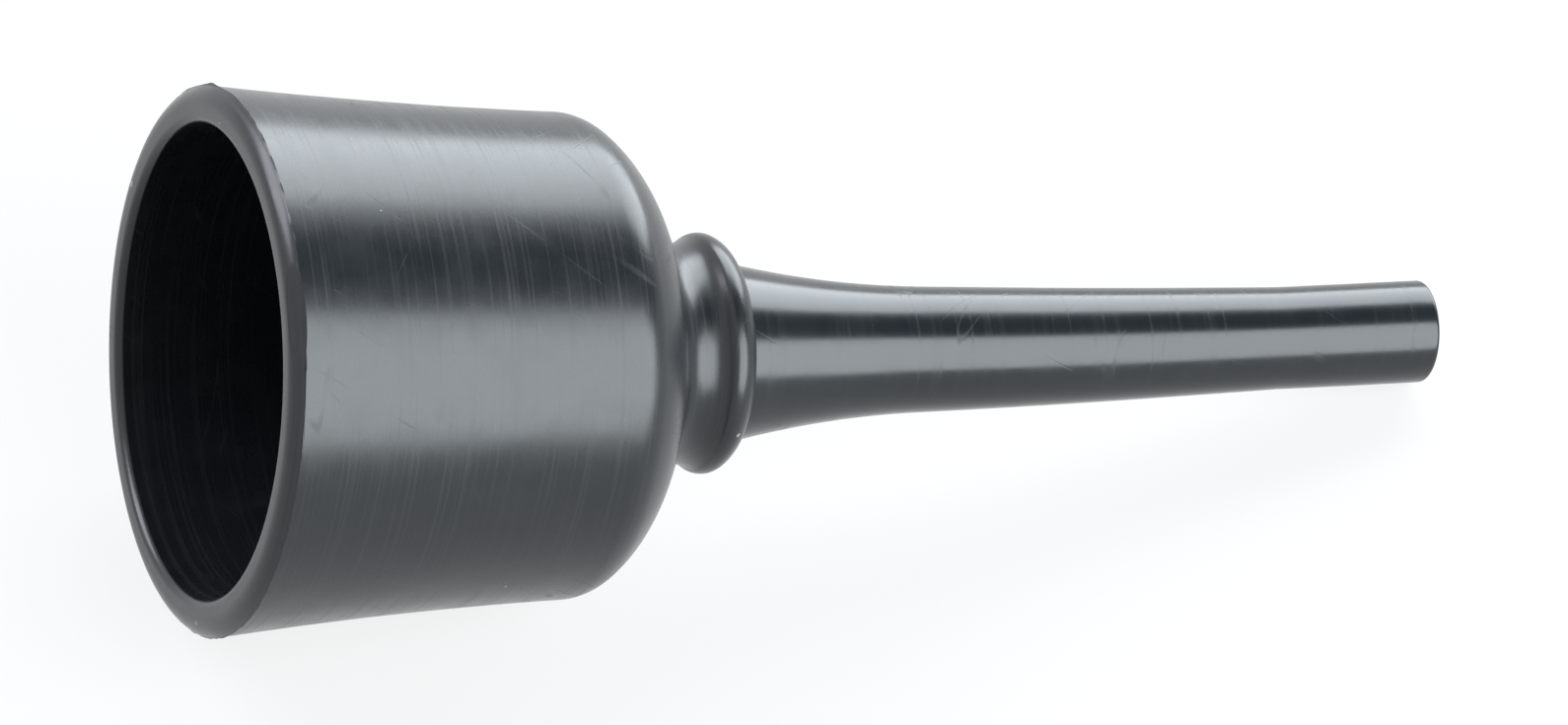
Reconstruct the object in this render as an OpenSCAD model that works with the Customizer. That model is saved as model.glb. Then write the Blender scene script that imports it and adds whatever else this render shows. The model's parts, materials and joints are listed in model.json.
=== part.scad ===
// Hand dust blower with an open bell: a soft rubber bell, a firm ferrule in its
// neck and a long rubber nozzle. The palm closes the mouth and a push on the bell
// drives the air out of the nozzle. The tool lies on its side, on the bell's
// shoulder and the nozzle's tip, with the mouth towards -X.
//
// Each piece is drawn as a half outline: the first number of a point is its
// distance from the tool's axis, the second its distance behind the mouth.

/* [Bell] */
// Diameter at the widest point, the outer edge of the lip
mouth_d = 40.1; // [34:0.1:50]
// Distance from the lip's front to its outer edge
lip_set_back = 0.85; // [0.5:0.05:1.2]
// Diameter where the wall ends and the shoulder begins
shoulder_d = 35.7; // [30:0.1:44]
// Distance from the lip's front to the shoulder
shoulder_s = 27.6; // [20:0.1:36]
// How far the wall is hollowed at the middle of its length
wall_sag = 0.24; // [0.1:0.02:0.5]
// Thickness of the rubber
wall_t = 2.4; // [1.6:0.1:3]
// Radius of the tight turn from the wall into the shoulder
turn_r = 4.1; // [3.4:0.1:5]
// Slope at which the tight turn passes into the dome
turn_end = 38; // [30:1:50]
// Radius of the dome at the back of the bell
dome_r = 11; // [9:0.1:13]

/* [Lip] */
// Width of the flat land that seals against the palm
land_w = 0.7; // [0.4:0.1:1]
// Diameter of the opening, behind the lip's inner round
opening_d = 35; // [29:0.1:43]
// Radius of the round between the land and the opening
inner_round_r = 0.4; // [0.2:0.05:0.6]

/* [Neck] */
// Diameter of the bead around the end of the neck
bead_d = 17.7; // [16:0.1:20]
// Radius of the bead's own rounding
bead_r = 1.7; // [1.3:0.1:2]
// Length from the dome's back to the middle of the bead
bead_gap = 4.9; // [4.4:0.1:6]
// Radius of the groove between the dome and the bead
groove_r = 2; // [1.6:0.1:2.4]

/* [Ferrule] */
// Outside diameter of the ferrule's tube, and of the bores that hold it
ferrule_d = 8; // [7:0.1:9]
// Diameter of the ferrule's own bore
ferrule_bore_d = 5; // [4:0.1:6]
// Diameter of the flange on the bell's floor
flange_d = 14; // [12:0.1:15]
// Thickness of the flange
flange_t = 1.2; // [0.8:0.1:1.6]
// Length of ferrule that stands in the nozzle
grip_l = 8; // [6:0.5:9]
// Number of barbs in the nozzle
barb_n = 3; // [2:1:3]
// Height of each barb
barb_h = 0.3; // [0.2:0.05:0.4]

/* [Nozzle] */
// Length of nozzle outside the neck
nozzle_l = 56.5; // [46:0.5:70]
// Diameter at the nozzle's root
root_d = 13.4; // [12:0.1:14]
// Diameter where the trumpet at the root ends
trumpet_end_d = 9.3; // [8.8:0.1:10]
// Length of the trumpet
trumpet_l = 15.5; // [14:0.5:18]
// Diameter at the tip
tip_d = 7.6; // [6.5:0.1:8.5]
// Length of the straight cylinder at the tip
tip_l = 12; // [8:0.5:16]
// Diameter of the air bore
nozzle_bore_d = 3; // [2:0.1:4]
// Radius of the round on the tip's outer edge
tip_round_r = 0.35; // [0.2:0.05:0.6]

/* [Fits] */
// Clearance around the ferrule on each side
fit_gap = 0.03; // [0.02:0.01:0.06]
// Gap between the bead and the nozzle's root
root_gap = 0.1; // [0.05:0.05:0.2]

/* [Hidden] */
$fn = 96;

// Steps in each arc of an outline
arc_steps = 16;

rubber = [0.12, 0.12, 0.13];
firm_rubber = [0.16, 0.16, 0.18];
hard_plastic = [0.30, 0.30, 0.32];

// Points along an arc about c, from one slope angle to the other. At slope 0 the
// surface faces away from the axis, and at slope 90 it faces the nozzle.
function arc(c, r, from, to) = [
    for (i = [0 : arc_steps])
        let (slope = from + (to - from) * i / arc_steps)
            c + r * [cos(slope), sin(slope)]
];

// The centre of a circle whose centre lies at ra from a and at rb from b, on the
// side away from the axis
function outer_crossing(a, ra, b, rb) =
    let (
        gap = norm(b - a),
        along = (gap * gap + ra * ra - rb * rb) / (2 * gap),
        aside = sqrt(ra * ra - along * along),
        way = (b - a) / gap
    )
    a + along * way + aside * [way[1], -way[0]];

// Slope angle of the direction from a to b
function slope_to(a, b) = atan2(b[1] - a[1], b[0] - a[0]);

// Wall of the bell: a shallow hollow arc between the lip and the shoulder
lip_edge = [mouth_d / 2, lip_set_back];
wall_end = [shoulder_d / 2, shoulder_s];
wall_chord = norm(wall_end - lip_edge);
wall_r = wall_chord * wall_chord / (8 * wall_sag) + wall_sag / 2;
wall_way = (wall_end - lip_edge) / wall_chord;
wall_lean = slope_to(lip_edge, wall_end) - 90;
wall_half_angle = asin(wall_chord / (2 * wall_r));
wall_c = (lip_edge + wall_end) / 2 + (wall_r - wall_sag) * [wall_way[1], -wall_way[0]];
wall_end_slope = wall_lean - wall_half_angle;
wall_start_slope = wall_lean + wall_half_angle;

// Tight turn, dome, groove and bead, each tangent to the one before it
turn_c = wall_end - turn_r * [cos(wall_end_slope), sin(wall_end_slope)];
dome_c = turn_c - (dome_r - turn_r) * [cos(turn_end), sin(turn_end)];
dome_back_s = dome_c[1] + dome_r;
bead_c = [bead_d / 2 - bead_r, dome_back_s + bead_gap];
groove_c = outer_crossing(dome_c, dome_r + groove_r, bead_c, bead_r + groove_r);
dome_end = slope_to(dome_c, groove_c);
bead_start = slope_to(bead_c, groove_c);
neck_end_s = bead_c[1] + bead_r;
floor_s = dome_back_s - wall_t;

// Lip: opening, inner round, sealing land and the outer round up to the lip's edge
opening_r = opening_d / 2;
land_start_r = opening_r + inner_round_r;
land_end_r = land_start_r + land_w;
lip_reach = [mouth_d / 2 - land_end_r, lip_set_back];
lip_turn = 2 * atan2(lip_reach[1], lip_reach[0]);
lip_round_r = lip_reach[0] / sin(lip_turn);

// The cavity's wall runs straight from the opening to where the wall is wall_t thick
cavity_turn_r = turn_r - wall_t;
cavity_dome_r = dome_r - wall_t;

// Ferrule and nozzle stand one behind the other along the axis
ferrule_r = ferrule_d / 2;
flange_front_s = floor_s - flange_t;
root_s = neck_end_s + root_gap;
ferrule_end_s = root_s + grip_l;
tip_s = root_s + nozzle_l;
barb_pitch = grip_l / (barb_n + 1);
tip_r = tip_d / 2;
tip_round_c = [tip_r - tip_round_r, tip_s - tip_round_r];

// Angle between the axis and a table that touches a round of radius r about c, or
// an edge where r is 0, and the round of the tip
function table_angle(c, r) =
    let (reach = tip_round_c - c)
    atan2(-reach[0], reach[1]) + asin((r - tip_round_r) / norm(reach));

// The tool lies on its tip and on its shoulder, or on its lip where that comes lower
rest_angle = max(table_angle(turn_c, turn_r), table_angle(lip_edge, 0));
axis_height = tip_round_r + tip_round_c * [cos(rest_angle), sin(rest_angle)];

// Lowest and highest X of the tool as it lies, from the land's outer edge and the
// round of the tip
lip_round_c = [land_end_r, lip_round_r];
x_low = lip_round_c[1] * cos(rest_angle) - lip_round_c[0] * sin(rest_angle) - lip_round_r;
x_high = tip_round_c[1] * cos(rest_angle) + tip_round_c[0] * sin(rest_angle) + tip_round_r;

// Trumpet at the nozzle's root: a hollow arc, tangent to the taper that follows it
root_edge = [root_d / 2, root_s];
trumpet_end = [trumpet_end_d / 2, root_s + trumpet_l];
taper_slope = slope_to(trumpet_end, [tip_r, tip_s - tip_l]) - 90;
taper_out = [cos(taper_slope), sin(taper_slope)];
root_reach = root_edge - trumpet_end;
trumpet_r = root_reach * root_reach / (2 * root_reach * taper_out);
trumpet_c = trumpet_end + trumpet_r * taper_out;
root_slope = slope_to(root_edge, trumpet_c);

// Saw-toothed rings around the ferrule's end, each steep towards the bell, with
// extra added to their radius
function barbs(extra) = [
    for (i = [0 : barb_n - 1], at = [[0, 0], [0, barb_h], [1, 0]])
        [ferrule_r + extra + at[1], root_s + barb_pitch * (i + 0.5 + at[0])]
];

function backwards(points) = [
    for (i = [len(points) - 1 : -1 : 0])
        points[i]
];

// Lays a piece that stands on its mouth down on the table, over the origin
module lay_down() {
    translate([-(x_low + x_high) / 2, 0, axis_height])
        rotate([0, 90 + rest_angle, 0])
            children();
}

module bulb_body() {
    outside = concat(
        arc(lip_round_c, lip_round_r, -90, lip_turn - 90),
        arc(wall_c, -wall_r, wall_start_slope, wall_end_slope),
        arc(turn_c, turn_r, wall_end_slope, turn_end),
        arc(dome_c, dome_r, turn_end, dome_end),
        arc(groove_c, -groove_r, dome_end, bead_start),
        arc(bead_c, bead_r, bead_start, 90)
    );
    inside = concat(
        [[ferrule_r + fit_gap, neck_end_s], [ferrule_r + fit_gap, floor_s]],
        arc(dome_c, cavity_dome_r, 90, turn_end),
        arc(turn_c, cavity_turn_r, turn_end, wall_end_slope),
        arc([land_start_r, inner_round_r], inner_round_r, 180, 270)
    );
    color(rubber)
        lay_down()
            rotate_extrude()
                polygon(concat(outside, inside));
}

module neck_ferrule() {
    outline = concat(
        [
            [ferrule_bore_d / 2, flange_front_s],
            [flange_d / 2, flange_front_s],
            [flange_d / 2, floor_s],
            [ferrule_r, floor_s]
        ],
        barbs(0),
        [
            [ferrule_r, ferrule_end_s],
            [ferrule_bore_d / 2, ferrule_end_s]
        ]
    );
    color(hard_plastic)
        lay_down()
            rotate_extrude()
                polygon(outline);
}

module nozzle() {
    outside = concat(
        arc(trumpet_c, -trumpet_r, root_slope, taper_slope),
        [[tip_r, tip_s - tip_l]],
        arc(tip_round_c, tip_round_r, 0, 90)
    );
    inside = concat(
        [
            [nozzle_bore_d / 2, tip_s],
            [nozzle_bore_d / 2, ferrule_end_s + fit_gap],
            [ferrule_r + fit_gap, ferrule_end_s + fit_gap]
        ],
        backwards(barbs(fit_gap)),
        [[ferrule_r + fit_gap, root_s]]
    );
    color(firm_rubber)
        lay_down()
            rotate_extrude()
                polygon(concat(outside, inside));
}

bulb_body();
neck_ferrule();
nozzle();
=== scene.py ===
"""Looks of a rubber dust blower: an open bell, a ferrule in its neck and a long nozzle."""

import json
import math

import bmesh
import bpy
from bpy.props import FloatProperty, FloatVectorProperty, IntProperty, PointerProperty
from mathutils import Matrix, Vector, noise


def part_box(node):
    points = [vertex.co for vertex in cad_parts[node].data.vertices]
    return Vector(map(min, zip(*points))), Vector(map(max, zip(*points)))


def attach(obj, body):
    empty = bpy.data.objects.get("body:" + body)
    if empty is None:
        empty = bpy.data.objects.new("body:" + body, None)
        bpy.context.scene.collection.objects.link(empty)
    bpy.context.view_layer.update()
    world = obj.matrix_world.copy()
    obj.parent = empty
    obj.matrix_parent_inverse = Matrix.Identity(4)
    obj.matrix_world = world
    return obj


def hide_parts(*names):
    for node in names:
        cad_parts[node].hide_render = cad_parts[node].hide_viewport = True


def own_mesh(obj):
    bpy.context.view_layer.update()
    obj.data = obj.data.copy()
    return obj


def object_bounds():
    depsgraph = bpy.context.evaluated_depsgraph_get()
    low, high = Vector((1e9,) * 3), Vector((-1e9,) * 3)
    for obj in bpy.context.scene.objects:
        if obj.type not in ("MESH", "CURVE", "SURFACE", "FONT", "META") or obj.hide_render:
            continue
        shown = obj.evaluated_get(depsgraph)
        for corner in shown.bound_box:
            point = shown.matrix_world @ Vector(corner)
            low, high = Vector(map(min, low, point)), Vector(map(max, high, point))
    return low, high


bl_info = {
    "name": "Dust Blower",
    "version": (1, 0, 0),
    "blender": (4, 5, 0),
    "location": "View3D > Sidebar > Dust Blower",
    "description": "Builds the rubber bell and nozzle of a bench dust blower around its CAD frame",
    "category": "Object",
}

MM = 0.001
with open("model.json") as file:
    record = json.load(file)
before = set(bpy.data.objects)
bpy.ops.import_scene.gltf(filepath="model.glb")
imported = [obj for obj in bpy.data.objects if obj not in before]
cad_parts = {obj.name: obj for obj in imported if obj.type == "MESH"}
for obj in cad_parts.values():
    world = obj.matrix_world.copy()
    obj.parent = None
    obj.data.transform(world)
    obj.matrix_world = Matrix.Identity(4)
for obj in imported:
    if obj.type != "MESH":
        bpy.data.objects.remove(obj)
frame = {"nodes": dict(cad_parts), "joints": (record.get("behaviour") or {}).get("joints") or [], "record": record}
CAD_BOX = [list(corner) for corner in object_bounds()]

MOUNTS = {mount["name"]: mount for mount in frame["record"]["mounts"]}
MOUTH = Vector((MOUNTS["mouth_rim"]["pos_m"][0], 0, MOUNTS["mouth_rim"]["pos_m"][2]))
AXIS = Vector(MOUNTS["nozzle_outlet"]["axis"]).normalized()
DIP = math.atan2(-AXIS.z, AXIS.x)
STROKE = next(j for j in frame["joints"] if j["name"] == "press_stroke")["range_m"][1]
# Takes a piece drawn along +X, with the mouth at the origin, to where the tool lies
LAY_DOWN = Matrix.Translation(MOUTH) @ Matrix.Rotation(DIP, 4, "Y")


def node_width(node):
    """Diameter of a round CAD node, from its extent across the table."""
    low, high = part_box(node)
    return high.y - low.y


def length(name, description, default, soft_max=0.1):
    """A size in metres."""
    return FloatProperty(
        name=name,
        description=description,
        default=default,
        min=0,
        soft_max=soft_max,
        precision=5,
        subtype="DISTANCE",
        unit="LENGTH",
    )


def share(name, description, default):
    """A number from 0 to 1."""
    return FloatProperty(
        name=name, description=description, default=default, min=0, max=1, subtype="FACTOR"
    )


def colour(name, description, default):
    """A linear colour."""
    return FloatVectorProperty(
        name=name, description=description, default=default, min=0, max=1, size=3, subtype="COLOR"
    )


class DustBlowerBell(bpy.types.PropertyGroup):
    """Sizes of the bell."""

    mouth: length("Mouth", "Diameter at the lip's outer edge", node_width("bulb_body"))
    lip_set_back: length("Lip set back", "From the lip's front to its outer edge", 0.85 * MM)
    shoulder: length("Shoulder", "Diameter where the wall ends", 35.7 * MM)
    shoulder_at: length("Shoulder place", "From the lip's front to the shoulder", 27.6 * MM)
    wall_sag: length("Wall hollow", "Hollow at the middle of the wall", 0.24 * MM)
    wall: length("Wall", "Thickness of the rubber", 2.4 * MM)
    turn: length("Turn", "Radius of the turn into the shoulder", 4.1 * MM)
    turn_end: FloatProperty(
        name="Turn end",
        description="Slope at which the turn passes into the dome",
        default=math.radians(38),
        subtype="ANGLE",
        unit="ROTATION",
    )
    dome: length("Dome", "Radius of the dome", 11 * MM)
    land: length("Land", "Width of the sealing land", 0.7 * MM)
    opening: length("Opening", "Diameter of the opening", 34.6 * MM)
    inner_round: length("Inner round", "Round between land and opening", 0.6 * MM)
    bead: length("Bead", "Diameter of the bead", 17.7 * MM)
    bead_round: length("Bead round", "Radius of the bead's front rounding", 1.1 * MM)
    bead_gap: length("Bead gap", "From the dome's back to the bead's crest", 4.94 * MM)
    groove: length("Groove", "Radius of the groove before the bead", 2.8 * MM)
    neck_end: length("Neck end", "From the lip's front to the neck's end", 40.7622 * MM)
    neck_bore: length("Neck bore", "Bore that holds the ferrule", 8.06 * MM)
    flash: length("Flash", "Height of the thin seam at the lip's edge", 0.07 * MM, 0.001)
    waves: length("Waves", "Unevenness of the moulded wall", 0.03 * MM, 0.001)
    turns: IntProperty(name="Steps", description="Steps round the axis", default=320, min=32)


class DustBlowerNozzle(bpy.types.PropertyGroup):
    """Sizes of the nozzle."""

    root: length("Root", "Diameter at the root", node_width("nozzle"))
    root_at: length("Root place", "From the lip's front to the root", 40.8622 * MM)
    reach: length("Length", "Length outside the neck", 56.5 * MM)
    trumpet_end: length("Trumpet end", "Diameter where the trumpet ends", 9.3 * MM)
    trumpet: length("Trumpet", "Length of the trumpet", 15.5 * MM)
    tip: length("Tip", "Diameter at the tip", 2 * MM * MOUNTS["nozzle_tip"]["dims"]["r_mm"])
    tip_length: length("Tip length", "Length of the straight tip", 12 * MM)
    tip_round: length("Tip round", "Round of the tip's edge", 0.35 * MM, 0.001)
    bore: length("Bore", "Air bore", 2 * MM * MOUNTS["nozzle_outlet"]["dims"]["r_mm"])
    socket: length("Socket", "Bore that holds the ferrule", 8.06 * MM)
    socket_depth: length("Socket depth", "Depth of that bore", 8.03 * MM)
    bow: length("Bow", "How far the soft tip bends aside", 0.97 * MM, 0.005)
    bow_from: length("Bow start", "From the lip's front to where it bends", 54 * MM)
    waves: length("Waves", "Unevenness of the moulded stem", 0.012 * MM, 0.001)
    turns: IntProperty(name="Steps", description="Steps round the axis", default=160, min=32)


class DustBlowerFinish(bpy.types.PropertyGroup):
    """Colours and gloss."""

    rubber: colour("Rubber", "Body colour of the rubber", (0.0085, 0.0105, 0.0125))
    bloom: colour("Bloom", "Colour of bloom and dust on the rubber", (0.33, 0.33, 0.36))
    plastic: colour("Ferrule", "Colour of the ferrule", (0.03, 0.03, 0.032))
    bell_rough: share("Bell roughness", "Roughness of the bell", 0.27)
    nozzle_rough: share("Nozzle roughness", "Roughness of the nozzle", 0.21)
    ferrule_rough: share("Ferrule roughness", "Roughness of the ferrule", 0.4)
    floor: share("Floor", "Grey of the floor", 0.12)


# Outlines. A vertex lies at (distance behind the mouth, 0, distance from the axis).


def at(radius, along):
    """The place of an outline's point."""
    return Vector((along, 0, radius))


def towards(slope):
    """Direction of a slope: 0 faces away from the axis, and a quarter turn faces the nozzle."""
    return at(math.cos(slope), math.sin(slope))


def slope_of(way):
    """The slope of a direction."""
    return math.atan2(way.x, way.z)


def line_on(bm, vert, end, steps=1):
    """Draws the outline on from vert, straight to end."""
    step = (end - vert.co) / steps
    for _ in range(steps):
        made = bmesh.ops.extrude_vert_indiv(bm, verts=[vert])
        vert = made["verts"][0]
        bmesh.ops.translate(bm, verts=[vert], vec=step)
    return vert


def arc_on(bm, vert, centre, angle, steps):
    """Draws the outline on from vert, round centre."""
    made = bmesh.ops.spin(
        bm, geom=[vert], cent=centre, axis=(0, 1, 0), angle=angle, steps=steps
    )
    return next(g for g in made["geom_last"] if isinstance(g, bmesh.types.BMVert))


def outer_crossing(a, ra, b, rb):
    """Where circles about a and b cross, on the side away from the axis."""
    gap = (b - a).length
    way = (b - a) / gap
    along = (gap * gap + ra * ra - rb * rb) / (2 * gap)
    aside = math.sqrt(ra * ra - along * along)
    return a + along * way + aside * Vector((-way.z, 0, way.x))


def turn_outline(bm, turns):
    """Spins a closed outline into a solid of revolution."""
    bmesh.ops.spin(
        bm,
        geom=bm.verts[:] + bm.edges[:],
        cent=(0, 0, 0),
        axis=(1, 0, 0),
        angle=math.tau,
        steps=turns,
        use_merge=True,
    )
    bmesh.ops.remove_doubles(bm, verts=bm.verts, dist=0.0005 * MM)
    bmesh.ops.recalc_face_normals(bm, faces=bm.faces)


def unsettle(bm, amount, scale, bore):
    """Gives a moulded piece the slight unevenness of soft rubber, outside its bores."""
    for vert in bm.verts:
        radial = Vector((0, vert.co.y, vert.co.z))
        if radial.length < bore:
            continue
        radial.normalize()
        wave = noise.noise(vert.co * scale) + 0.4 * noise.noise(vert.co * scale * 2.7)
        vert.co += radial * amount * wave


def piece(name, bm, material, body, node):
    """Makes the finished object, lays it down and joins it to the frame."""
    bmesh.ops.transform(bm, matrix=LAY_DOWN, verts=bm.verts)
    mesh = bpy.data.meshes.new(name)
    bm.to_mesh(mesh)
    bm.free()
    mesh.shade_smooth()
    mesh.set_sharp_from_angle(angle=math.radians(32))
    mesh.materials.append(material)
    obj = bpy.data.objects.new(name, mesh)
    bpy.context.scene.collection.objects.link(obj)
    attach(obj, body)
    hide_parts(node)
    return obj


# Finishes


def group_of(name, inputs, outputs):
    """A new node group, its input and output nodes, and its links."""
    group = bpy.data.node_groups.new(name, "ShaderNodeTree")
    for label, kind, default in inputs:
        socket = group.interface.new_socket(label, in_out="INPUT", socket_type=kind)
        if default is not None:
            socket.default_value = default
    for label, kind in outputs:
        group.interface.new_socket(label, in_out="OUTPUT", socket_type=kind)
    return group, group.nodes.new("NodeGroupInput"), group.nodes.new("NodeGroupOutput")


def add_node(tree, kind, **settings):
    """A node with its settings. A key that names an input sets that input's value."""
    node = tree.nodes.new(kind)
    for key, value in settings.items():
        if hasattr(node, key):
            setattr(node, key, value)
        else:
            node.inputs[key.replace("_", " ")].default_value = value
    return node


def maths(tree, operation, first, second=None, clamp=False):
    """A Math node. Each term is a number or a socket to link from."""
    node = tree.nodes.new("ShaderNodeMath")
    node.operation = operation
    node.use_clamp = clamp
    for place, term in enumerate((first, second)):
        if isinstance(term, (int, float)):
            node.inputs[place].default_value = term
        elif term is not None:
            tree.links.new(term, node.inputs[place])
    return node.outputs[0]


def between(tree, value, low, high):
    """Maps a value so that low gives 0 and high gives 1, smoothly."""
    node = tree.nodes.new("ShaderNodeMapRange")
    node.interpolation_type = "SMOOTHSTEP"
    node.inputs["From Min"].default_value = low
    node.inputs["From Max"].default_value = high
    tree.links.new(value, node.inputs["Value"])
    return node.outputs["Result"]


def stretched(tree, vector, across, along):
    """A vector scaled by across on X and by along on Y and Z."""
    scale = tree.nodes.new("ShaderNodeCombineXYZ")
    for place, factor in enumerate((across, along, along)):
        tree.links.new(factor, scale.inputs[place])
    product = add_node(tree, "ShaderNodeVectorMath", operation="MULTIPLY")
    tree.links.new(vector, product.inputs[0])
    tree.links.new(scale.outputs[0], product.inputs[1])
    return product.outputs[0]


def noise_of(tree, vector, detail=3, scale=1.0):
    """A noise texture's value over a vector."""
    node = add_node(tree, "ShaderNodeTexNoise", Detail=detail, Scale=scale)
    tree.links.new(vector, node.inputs["Vector"])
    return node.outputs["Fac"]


def make_turning_marks():
    """Fine rings round the axis, as a turned mould leaves them."""
    group, given, out = group_of(
        "Turning Marks",
        [
            ("Vector", "NodeSocketVector", None),
            ("Rings", "NodeSocketFloat", 5000.0),
            ("Change", "NodeSocketFloat", 45.0),
        ],
        [("Height", "NodeSocketFloat"), ("Streaks", "NodeSocketFloat")],
    )
    fine = noise_of(group, stretched(group, given.outputs[0], given.outputs[1], given.outputs[2]))
    wide_rings = maths(group, "MULTIPLY", given.outputs[1], 0.16)
    wide = noise_of(group, stretched(group, given.outputs[0], wide_rings, given.outputs[2]))
    height = maths(group, "ADD", maths(group, "MULTIPLY", wide, 1.6), fine)
    group.links.new(height, out.inputs[0])
    group.links.new(between(group, fine, 0.5, 0.75), out.inputs[1])
    return group


def make_scratches():
    """Sparse fine scratches that run across the rings."""
    group, given, out = group_of(
        "Scratches",
        [
            ("Vector", "NodeSocketVector", None),
            ("Fineness", "NodeSocketFloat", 900.0),
            ("Reach", "NodeSocketFloat", 60.0),
        ],
        [("Mask", "NodeSocketFloat")],
    )
    masks = []
    for turn, shift in (((0.5, 0.3, 0.9), 0.0), ((-0.4, 0.8, -0.7), 5.0)):
        mapping = add_node(group, "ShaderNodeMapping")
        mapping.inputs["Rotation"].default_value = turn
        mapping.inputs["Location"].default_value = (shift, 0, 0)
        group.links.new(given.outputs[0], mapping.inputs["Vector"])
        lines = noise_of(
            group,
            stretched(group, mapping.outputs[0], given.outputs[1], given.outputs[2]),
            detail=1,
        )
        off_line = maths(group, "ABSOLUTE", maths(group, "SUBTRACT", lines, 0.5))
        thin = maths(group, "SUBTRACT", 1.0, between(group, off_line, 0.0, 0.012))
        patches = between(group, noise_of(group, mapping.outputs[0], 2, 170.0), 0.56, 0.66)
        masks.append(maths(group, "MULTIPLY", thin, patches))
    group.links.new(maths(group, "MAXIMUM", masks[0], masks[1]), out.inputs[0])
    return group


def make_specks():
    """Scattered grains of dust and small moulding specks."""
    group, given, out = group_of(
        "Specks",
        [
            ("Vector", "NodeSocketVector", None),
            ("Spacing", "NodeSocketFloat", 700.0),
            ("Share", "NodeSocketFloat", 0.06),
            ("Size", "NodeSocketFloat", 0.16),
        ],
        [("Mask", "NodeSocketFloat"), ("Bloom", "NodeSocketFloat")],
    )
    cells = add_node(group, "ShaderNodeTexVoronoi", feature="F1")
    group.links.new(given.outputs[0], cells.inputs["Vector"])
    group.links.new(given.outputs[1], cells.inputs["Scale"])
    split = add_node(group, "ShaderNodeSeparateColor")
    group.links.new(cells.outputs["Color"], split.inputs[0])
    chosen = maths(group, "LESS_THAN", split.outputs[0], given.outputs[2])
    size = maths(group, "MULTIPLY", split.outputs[1], given.outputs[3])
    inside = maths(group, "LESS_THAN", cells.outputs["Distance"], size)
    group.links.new(maths(group, "MULTIPLY", chosen, inside), out.inputs[0])
    bloom = between(group, noise_of(group, given.outputs[0], 5, 240.0), 0.5, 0.8)
    group.links.new(bloom, out.inputs[1])
    return group


def put_group(tree, group, vector, **values):
    """Places a group in a material with its own values."""
    node = tree.nodes.new("ShaderNodeGroup")
    node.node_tree = group
    for label, value in values.items():
        node.inputs[label].default_value = value
    tree.links.new(vector, node.inputs["Vector"])
    return node


def tool_vector(tree):
    """Object coordinates turned so that X runs along the tool from its mouth."""
    coordinates = tree.nodes.new("ShaderNodeTexCoord")
    mapping = tree.nodes.new("ShaderNodeMapping")
    mapping.vector_type = "TEXTURE"
    mapping.inputs["Location"].default_value = MOUTH
    mapping.inputs["Rotation"].default_value = (0, DIP, 0)
    tree.links.new(coordinates.outputs["Object"], mapping.inputs["Vector"])
    return mapping.outputs["Vector"]


def bump_on(tree, height, distance, normal=None):
    """A Bump node whose height is distance metres for a value of 1."""
    bump = add_node(tree, "ShaderNodeBump", Strength=1.0, Distance=distance)
    tree.links.new(height, bump.inputs["Height"])
    if normal is not None:
        tree.links.new(normal, bump.inputs["Normal"])
    return bump.outputs["Normal"]


def moulded(name, base, bloom, rough, marks, scratches, specks):
    """A moulded finish: rings, scratches, specks and a faint bloom on a dark body."""
    material = bpy.data.materials.new(name)
    material.use_nodes = True
    tree = material.node_tree
    shader = tree.nodes["Principled BSDF"]
    vector = tool_vector(tree)
    rings = put_group(tree, GROUPS["marks"], vector, Rings=marks["rings"], Change=marks["change"])
    lines = put_group(tree, GROUPS["scratches"], vector, **scratches)
    dust = put_group(tree, GROUPS["specks"], vector, **specks)
    paleness = maths(
        tree,
        "ADD",
        maths(tree, "MULTIPLY", dust.outputs["Mask"], 0.75),
        maths(
            tree,
            "ADD",
            maths(tree, "MULTIPLY", dust.outputs["Bloom"], marks["bloom"]),
            maths(tree, "MULTIPLY", rings.outputs["Streaks"], marks["streak"]),
        ),
        clamp=True,
    )
    paint = tree.nodes.new("ShaderNodeMix")
    paint.data_type = "RGBA"
    paint_a, paint_b = [s for s in paint.inputs if s.type == "RGBA"]
    paint_a.default_value = (*base, 1)
    paint_b.default_value = (*bloom, 1)
    tree.links.new(paleness, paint.inputs["Factor"])
    painted = next(s for s in paint.outputs if s.type == "RGBA")
    tree.links.new(painted, shader.inputs["Base Color"])
    uneven = maths(tree, "MULTIPLY", noise_of(tree, vector, 4, 420.0), marks["rough_change"])
    roughness = maths(tree, "ADD", uneven, rough - marks["rough_change"] / 2)
    streaked = maths(tree, "MULTIPLY", rings.outputs["Streaks"], 0.08)
    marked = maths(tree, "MULTIPLY", lines.outputs["Mask"], 0.12)
    both = maths(tree, "ADD", streaked, marked)
    tree.links.new(maths(tree, "ADD", roughness, both), shader.inputs["Roughness"])
    normal = bump_on(tree, rings.outputs["Height"], marks["depth"])
    normal = bump_on(tree, noise_of(tree, vector, 3, 5200.0), marks["grain"], normal)
    normal = bump_on(tree, lines.outputs["Mask"], -marks["scratch_depth"], normal)
    normal = bump_on(tree, dust.outputs["Mask"], 0.02 * MM, normal)
    tree.links.new(normal, shader.inputs["Normal"])
    return material


GROUPS = {}


def shared_groups():
    """Makes the shared node groups once."""
    if not GROUPS:
        GROUPS["marks"] = make_turning_marks()
        GROUPS["scratches"] = make_scratches()
        GROUPS["specks"] = make_specks()


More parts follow.
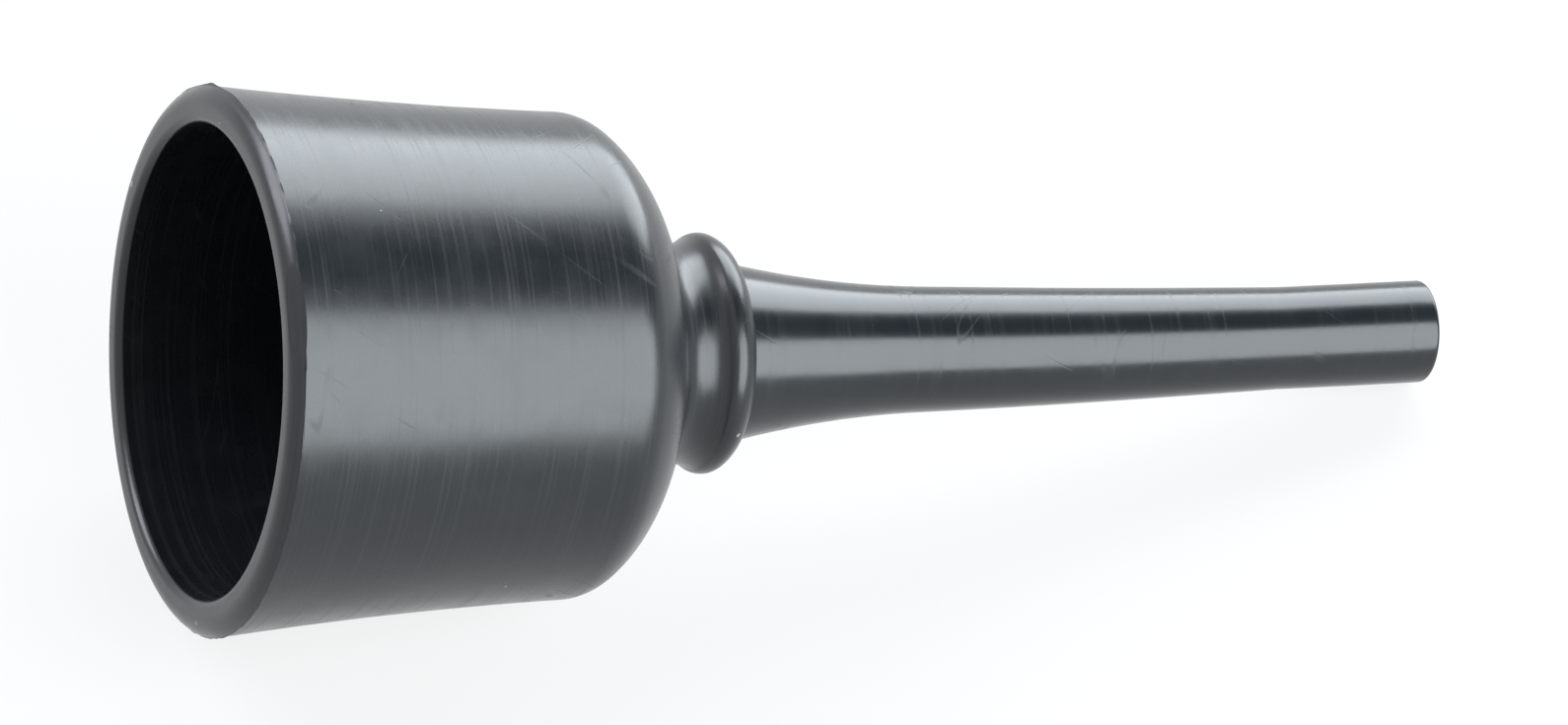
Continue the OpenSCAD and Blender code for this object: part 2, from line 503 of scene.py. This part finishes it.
def draw_bell(bm, bell):
    """Draws the bell's closed outline, from the land round the outside and back inside."""
    land_start = bell.opening / 2 + bell.inner_round
    land_end = land_start + bell.land
    lip_edge = at(bell.mouth / 2, bell.lip_set_back)
    lip_turn = 2 * math.atan2(lip_edge.x, lip_edge.z - land_end)
    lip_round = (lip_edge.z - land_end) / math.sin(lip_turn)
    wall_end = at(bell.shoulder / 2, bell.shoulder_at)
    chord = wall_end - lip_edge
    wall_radius = chord.length_squared / (8 * bell.wall_sag) + bell.wall_sag / 2
    way = chord.normalized()
    outwards = Vector((-way.z, 0, way.x))
    wall_centre = (lip_edge + wall_end) / 2 + (wall_radius - bell.wall_sag) * outwards
    half_angle = math.asin(chord.length / (2 * wall_radius))
    lean = slope_of(outwards)
    end_slope = lean - half_angle
    turn_centre = wall_end - bell.turn * towards(end_slope)
    dome_centre = turn_centre - (bell.dome - bell.turn) * towards(bell.turn_end)
    bead_centre = at(bell.bead / 2 - bell.bead_round, dome_centre.x + bell.dome + bell.bead_gap)
    groove_centre = outer_crossing(
        dome_centre, bell.dome + bell.groove, bead_centre, bell.bead_round + bell.groove
    )
    dome_end = slope_of(groove_centre - dome_centre)
    bead_start = slope_of(groove_centre - bead_centre)
    bore = bell.neck_bore / 2
    floor_at = dome_centre.x + bell.dome - bell.wall
    fin = 0.12 * MM
    quarter = math.radians(90)

    first = bm.verts.new(at(land_end, 0))
    vert = arc_on(bm, first, at(land_end, lip_round), lip_turn, 14)
    vert = line_on(bm, vert, vert.co + at(bell.flash, 0.25 * fin))
    vert = line_on(bm, vert, vert.co + at(-0.1 * bell.flash, 0.4 * fin))
    fin_turn = -fin / wall_radius
    wall_start = wall_centre - wall_radius * towards(lean + half_angle + fin_turn)
    vert = line_on(bm, vert, wall_start)
    vert = arc_on(bm, vert, wall_centre, -2 * half_angle - fin_turn, 44)
    vert = arc_on(bm, vert, turn_centre, bell.turn_end - end_slope, 18)
    vert = arc_on(bm, vert, dome_centre, dome_end - bell.turn_end, 22)
    vert = arc_on(bm, vert, groove_centre, bead_start - dome_end, 26)
    # The bead's back is rounder than its front and ends flush with the neck
    crest_slope = math.radians(20)
    back_reach = bell.neck_end - bead_centre.x - bell.bead_round * math.sin(crest_slope)
    back_round = back_reach / (1 - math.sin(crest_slope))
    back_centre = bead_centre - (back_round - bell.bead_round) * towards(crest_slope)
    vert = arc_on(bm, vert, bead_centre, crest_slope - bead_start, 22)
    vert = arc_on(bm, vert, back_centre, quarter - crest_slope, 16)
    vert = line_on(bm, vert, at(bore, vert.co.x), 2)
    vert = line_on(bm, vert, at(bore, floor_at), 2)
    vert = line_on(bm, vert, at(dome_centre.z, floor_at), 2)
    vert = arc_on(bm, vert, dome_centre, bell.turn_end - quarter, 14)
    vert = arc_on(bm, vert, turn_centre, end_slope - bell.turn_end, 10)
    vert = line_on(bm, vert, at(bell.opening / 2, bell.inner_round), 20)
    vert = arc_on(bm, vert, at(land_start, bell.inner_round), quarter, 10)
    bm.edges.new((vert, first))


def roughen_flash(bm, bell):
    """Makes the seam at the lip's edge uneven, with a few burrs."""
    edge = bell.mouth / 2
    for vert in bm.verts:
        radial = Vector((0, vert.co.y, vert.co.z))
        proud = radial.length - edge - 0.2 * bell.flash
        if proud <= 0 or vert.co.x > 2 * bell.lip_set_back:
            continue
        turn = radial.normalized()
        ragged = 0.5 + 1.1 * noise.noise(turn * 23)
        burr = max(0.0, noise.noise(turn * 9 + Vector((3, 1, 4))) - 0.28) * 6
        vert.co += turn * (proud + 0.2 * bell.flash) * (ragged + burr - 0.6)
        vert.co.x += 0.3 * bell.flash * noise.noise(turn * 31)


def trim_gate(bm, bell):
    """Slices a thin flat off the lip, where the moulding gate was trimmed."""
    angle = math.radians(57)
    side = Vector((0, -math.cos(angle), math.sin(angle)))
    normal = (side * 0.72 + Vector((-0.69, 0, 0))).normalized()
    corner = side * bell.mouth / 2 + Vector((bell.lip_set_back, 0, 0))
    made = bmesh.ops.bisect_plane(
        bm,
        geom=bm.verts[:] + bm.edges[:] + bm.faces[:],
        plane_co=corner - normal * 0.2 * MM,
        plane_no=normal,
        clear_outer=True,
    )
    rim = [g for g in made["geom_cut"] if isinstance(g, bmesh.types.BMEdge)]
    filled = bmesh.ops.holes_fill(bm, edges=rim, sides=0)
    return filled["faces"]


class DUSTBLOWER_OT_bell(bpy.types.Operator):
    """Builds the soft bell with its lip, shoulder, groove and bead"""

    bl_idname = "dustblower.bell"
    bl_label = "Build Bell"

    def execute(self, context):
        bell = context.scene.dust_blower_bell
        finish = context.scene.dust_blower_finish
        shared_groups()
        bm = bmesh.new()
        draw_bell(bm, bell)
        turn_outline(bm, bell.turns)
        roughen_flash(bm, bell)
        unsettle(bm, bell.waves, 95, bell.opening / 4)
        flats = trim_gate(bm, bell)
        if not flats:
            raise RuntimeError("the gate's flat cut nothing off the lip")
        for edge in {e for face in flats for e in face.edges}:
            edge.smooth = False
        material = moulded(
            "bell rubber",
            finish.rubber,
            finish.bloom,
            finish.bell_rough,
            {
                "rings": 4200.0,
                "change": 38.0,
                "bloom": 0.012,
                "streak": 0.02,
                "rough_change": 0.14,
                "depth": 0.0022 * MM,
                "grain": 0.0014 * MM,
                "scratch_depth": 0.004 * MM,
            },
            {"Fineness": 420.0, "Reach": 26.0},
            {"Spacing": 480.0, "Share": 0.045, "Size": 0.13},
        )
        obj = piece("bell", bm, material, "bell", "bulb_body")
        neck_end = max((v.co - MOUTH).dot(AXIS) for v in obj.data.vertices)
        if neck_end <= STROKE:
            raise RuntimeError("the bell is shorter than its stroke")
        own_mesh(obj)
        return {"FINISHED"}


def draw_nozzle(bm, nozzle):
    """Draws the nozzle's closed outline, from the root along the outside and back inside."""
    end_at = nozzle.root_at + nozzle.reach
    root_edge = at(nozzle.root / 2, nozzle.root_at)
    trumpet_end = at(nozzle.trumpet_end / 2, nozzle.root_at + nozzle.trumpet)
    taper_end = at(nozzle.tip / 2, end_at - nozzle.tip_length)
    way = (taper_end - trumpet_end).normalized()
    outwards = Vector((-way.z, 0, way.x))
    reach = root_edge - trumpet_end
    radius = reach.length_squared / (2 * reach.dot(outwards))
    centre = trumpet_end + radius * outwards
    root_slope = slope_of(centre - root_edge)
    socket_end = at(nozzle.socket / 2, nozzle.root_at + nozzle.socket_depth)
    edge = 0.25 * MM

    first = bm.verts.new(root_edge - at(edge, 0))
    vert = line_on(bm, first, root_edge + at(-0.25 * edge, 0.2 * edge))
    vert = line_on(bm, vert, centre - radius * towards(root_slope + edge / radius))
    vert = arc_on(bm, vert, centre, slope_of(outwards) - root_slope - edge / radius, 30)
    vert = line_on(bm, vert, taper_end, 28)
    vert = line_on(bm, vert, at(nozzle.tip / 2, end_at - nozzle.tip_round), 12)
    round_centre = at(nozzle.tip / 2 - nozzle.tip_round, end_at - nozzle.tip_round)
    vert = arc_on(bm, vert, round_centre, math.radians(90), 8)
    vert = line_on(bm, vert, at(nozzle.bore / 2 + 0.2 * MM, end_at), 2)
    vert = line_on(bm, vert, at(nozzle.bore / 2, end_at - 0.2 * MM))
    vert = line_on(bm, vert, at(nozzle.bore / 2, socket_end.x), 40)
    vert = line_on(bm, vert, socket_end)
    vert = line_on(bm, vert, at(socket_end.z, nozzle.root_at), 2)
    bm.edges.new((vert, first))


class DUSTBLOWER_OT_nozzle(bpy.types.Operator):
    """Builds the long nozzle with its trumpet root and straight tip"""

    bl_idname = "dustblower.nozzle"
    bl_label = "Build Nozzle"

    def execute(self, context):
        nozzle = context.scene.dust_blower_nozzle
        finish = context.scene.dust_blower_finish
        shared_groups()
        bm = bmesh.new()
        draw_nozzle(bm, nozzle)
        turn_outline(bm, nozzle.turns)
        unsettle(bm, nozzle.waves, 140, nozzle.tip / 2.4)
        tip_at = nozzle.root_at + nozzle.reach
        for vert in bm.verts:
            bent = max(0.0, vert.co.x - nozzle.bow_from) / (tip_at - nozzle.bow_from)
            vert.co.y += nozzle.bow * bent * bent
        material = moulded(
            "nozzle rubber",
            finish.rubber,
            finish.bloom,
            finish.nozzle_rough,
            {
                "rings": 2600.0,
                "change": 60.0,
                "bloom": 0.008,
                "streak": 0.008,
                "rough_change": 0.1,
                "depth": 0.0012 * MM,
                "grain": 0.0009 * MM,
                "scratch_depth": 0.003 * MM,
            },
            {"Fineness": 380.0, "Reach": 30.0},
            {"Spacing": 460.0, "Share": 0.03, "Size": 0.11},
        )
        piece("nozzle_rubber", bm, material, "nozzle_end", "nozzle")
        return {"FINISHED"}


class DUSTBLOWER_OT_ferrule(bpy.types.Operator):
    """Gives the ferrule inside the neck its hard plastic finish"""

    bl_idname = "dustblower.ferrule"
    bl_label = "Finish Ferrule"

    def execute(self, context):
        finish = context.scene.dust_blower_finish
        shared_groups()
        material = moulded(
            "ferrule plastic",
            finish.plastic,
            finish.bloom,
            finish.ferrule_rough,
            {
                "rings": 6000.0,
                "change": 90.0,
                "bloom": 0.01,
                "streak": 0.02,
                "rough_change": 0.12,
                "depth": 0.0015 * MM,
                "grain": 0.001 * MM,
                "scratch_depth": 0.003 * MM,
            },
            {"Fineness": 700.0, "Reach": 50.0},
            {"Spacing": 900.0, "Share": 0.03, "Size": 0.12},
        )
        mesh = frame["nodes"]["neck_ferrule"].data
        mesh.materials.clear()
        mesh.materials.append(material)
        return {"FINISHED"}


# Stage. Directions are given in the tool's own axes: along it towards the nozzle, away
# over its far side, and over its near side.

LIFT = math.radians(48)
LAMP_DISTANCE = 0.5
FLAG_DISTANCE = 0.48
CAMERA_LENS = 407.5
CAMERA_DISTANCE = 1.287
AXIS_RISE = math.radians(0.99)
ROOM_SEEN = 1.0
ROOM_DIFFUSE = 0.3
FLOOR_GLOW = 0.8
ALONG = AXIS
UPRIGHT = Vector((-AXIS.z, 0, AXIS.x))
FACING = Vector((0, -1, 0))
NEAR = math.cos(LIFT) * FACING + math.sin(LIFT) * UPRIGHT
FAR = math.cos(LIFT) * UPRIGHT - math.sin(LIFT) * FACING


def direction(along, far, near):
    """A unit direction from its parts along the tool, to its far and to its near side."""
    return (along * ALONG + far * FAR + near * NEAR).normalized()


def facing_tool(way, distance):
    """The place of a panel that faces the tool, with its width along the tool."""
    across = (ALONG - ALONG.dot(way) * way).normalized()
    turned = Matrix((across, way.cross(across), way)).transposed().to_4x4()
    middle = Vector(((CAD_BOX[0][0] + CAD_BOX[1][0]) / 2, 0, MOUTH.z))
    return Matrix.Translation(middle + way * distance) @ turned


def card(name, way, distance, width, height, radiance, tint):
    """A soft light panel that the camera doesn't see."""
    data = bpy.data.lights.new(name, "AREA")
    data.shape = "RECTANGLE"
    data.size = width
    data.size_y = height
    data.energy = radiance * math.pi * width * height
    data.color = tint
    obj = bpy.data.objects.new(name, data)
    bpy.context.scene.collection.objects.link(obj)
    obj.matrix_world = facing_tool(way, distance)
    obj.visible_camera = False
    return obj


def flag(name, way, distance, width, height):
    """A matt black panel between the lights, which keeps a dark band on the rubber."""
    bm = bmesh.new()
    bmesh.ops.create_grid(bm, size=0.5)
    bmesh.ops.scale(bm, vec=(width, height, 1), verts=bm.verts)
    bmesh.ops.transform(bm, matrix=facing_tool(way, distance), verts=bm.verts)
    mesh = bpy.data.meshes.new(name)
    bm.to_mesh(mesh)
    bm.free()
    material = bpy.data.materials.new(name)
    material.use_nodes = True
    shader = material.node_tree.nodes["Principled BSDF"]
    shader.inputs["Base Color"].default_value = (0.004, 0.004, 0.004, 1)
    shader.inputs["Roughness"].default_value = 1
    shader.inputs["Specular IOR Level"].default_value = 0
    mesh.materials.append(material)
    obj = bpy.data.objects.new(name, mesh)
    bpy.context.scene.collection.objects.link(obj)
    obj.visible_camera = False
    obj.visible_shadow = False
    return obj


def seen_directly(tree):
    """A mask that is 1 for what the camera, gloss and glass see directly."""
    path = tree.nodes.new("ShaderNodeLightPath")
    gloss = maths(tree, "MAXIMUM", path.outputs["Is Camera Ray"], path.outputs["Is Glossy Ray"])
    return maths(tree, "MAXIMUM", gloss, path.outputs["Is Transmission Ray"])


class DUSTBLOWER_OT_stage(bpy.types.Operator):
    """Sets up the floor, the surroundings, the lights and the camera"""

    bl_idname = "dustblower.stage"
    bl_label = "Set Stage"

    def execute(self, context):
        scene = context.scene
        self.surroundings(scene)
        self.lay_floor(scene)
        self.hang_lights()
        self.place_camera(scene)
        scene.view_settings.view_transform = "Standard"
        return {"FINISHED"}

    def surroundings(self, scene):
        world = bpy.data.worlds.new("pale room")
        world.use_nodes = True
        tree = world.node_tree
        tree.nodes["Background"].inputs["Color"].default_value = (1, 1, 1, 1)
        seen = seen_directly(tree)
        extra = maths(tree, "MULTIPLY", seen, ROOM_SEEN - ROOM_DIFFUSE)
        strength = maths(tree, "ADD", extra, ROOM_DIFFUSE)
        tree.links.new(strength, tree.nodes["Background"].inputs["Strength"])
        scene.world = world

    def lay_floor(self, scene):
        bm = bmesh.new()
        bmesh.ops.create_circle(bm, cap_ends=True, radius=3, segments=96)
        mesh = bpy.data.meshes.new("floor")
        bm.to_mesh(mesh)
        bm.free()
        material = bpy.data.materials.new("pale floor")
        material.use_nodes = True
        tree = material.node_tree
        shader = tree.nodes["Principled BSDF"]
        grey = scene.dust_blower_finish.floor
        shader.inputs["Base Color"].default_value = (grey, grey, grey, 1)
        shader.inputs["Roughness"].default_value = 1
        shader.inputs["Specular IOR Level"].default_value = 0
        shader.inputs["Emission Color"].default_value = (1, 1, 1, 1)
        glow = maths(tree, "MULTIPLY", seen_directly(tree), FLOOR_GLOW)
        tree.links.new(glow, shader.inputs["Emission Strength"])
        mesh.materials.append(material)
        floor = bpy.data.objects.new("floor", mesh)
        scene.collection.objects.link(floor)

    def hang_lights(self):
        cool = (0.88, 0.95, 1.0)
        lilac = (0.88, 0.9, 1.0)
        card("key", direction(0.45, 0.89, -0.1), LAMP_DISTANCE, 0.62, 0.4, 7.0, cool)
        card("fill", direction(0.45, -0.16, 0.87), LAMP_DISTANCE, 0.62, 0.5, 6.6, cool)
        card("end", direction(-0.73, 0.69, -0.05), LAMP_DISTANCE, 0.3, 0.34, 6.5, lilac)
        flag("black flag", direction(0.45, 0.6, 0.66), FLAG_DISTANCE, 0.8, 0.32)

    def place_camera(self, scene):
        back = (-0.375 * ALONG + 0.927 * NEAR).normalized()
        level = (ALONG - ALONG.dot(back) * back).normalized()
        right = math.cos(AXIS_RISE) * level - math.sin(AXIS_RISE) * back.cross(level)
        up = back.cross(right)
        aim = MOUTH + 0.5 * MM * ALONG + 42.06 * MM * right - 0.07 * MM * up
        data = bpy.data.cameras.new("camera")
        data.lens = CAMERA_LENS
        data.clip_start = 0.05
        data.clip_end = 20
        camera = bpy.data.objects.new("camera", data)
        scene.collection.objects.link(camera)
        turned = Matrix((right, up, back)).transposed().to_4x4()
        camera.matrix_world = Matrix.Translation(aim + CAMERA_DISTANCE * back) @ turned
        scene.camera = camera


class DUSTBLOWER_PT_panel(bpy.types.Panel):
    """Lists the sizes, the colours and the building steps"""

    bl_label = "Dust Blower"
    bl_idname = "DUSTBLOWER_PT_panel"
    bl_space_type = "VIEW_3D"
    bl_region_type = "UI"
    bl_category = "Dust Blower"

    def draw(self, context):
        for title, group, step in STEPS:
            box = self.layout.box()
            box.label(text=title)
            for name in group.__annotations__:
                box.prop(getattr(context.scene, PLACES[group]), name)
            box.operator(step.bl_idname)
        self.layout.operator(DUSTBLOWER_OT_stage.bl_idname)


PLACES = {
    DustBlowerBell: "dust_blower_bell",
    DustBlowerNozzle: "dust_blower_nozzle",
    DustBlowerFinish: "dust_blower_finish",
}
STEPS = (
    ("Bell", DustBlowerBell, DUSTBLOWER_OT_bell),
    ("Nozzle", DustBlowerNozzle, DUSTBLOWER_OT_nozzle),
    ("Finish", DustBlowerFinish, DUSTBLOWER_OT_ferrule),
)
CLASSES = (
    *PLACES,
    DUSTBLOWER_OT_bell,
    DUSTBLOWER_OT_nozzle,
    DUSTBLOWER_OT_ferrule,
    DUSTBLOWER_OT_stage,
    DUSTBLOWER_PT_panel,
)


def register():
    for cls in CLASSES:
        bpy.utils.register_class(cls)
    for group, place in PLACES.items():
        setattr(bpy.types.Scene, place, PointerProperty(type=group))


def unregister():
    for place in PLACES.values():
        delattr(bpy.types.Scene, place)
    for cls in reversed(CLASSES):
        bpy.utils.unregister_class(cls)


def main():
    register()
    bpy.ops.dustblower.bell()
    bpy.ops.dustblower.nozzle()
    bpy.ops.dustblower.ferrule()
    bpy.ops.dustblower.stage()


if __name__ == "__main__":
    main()
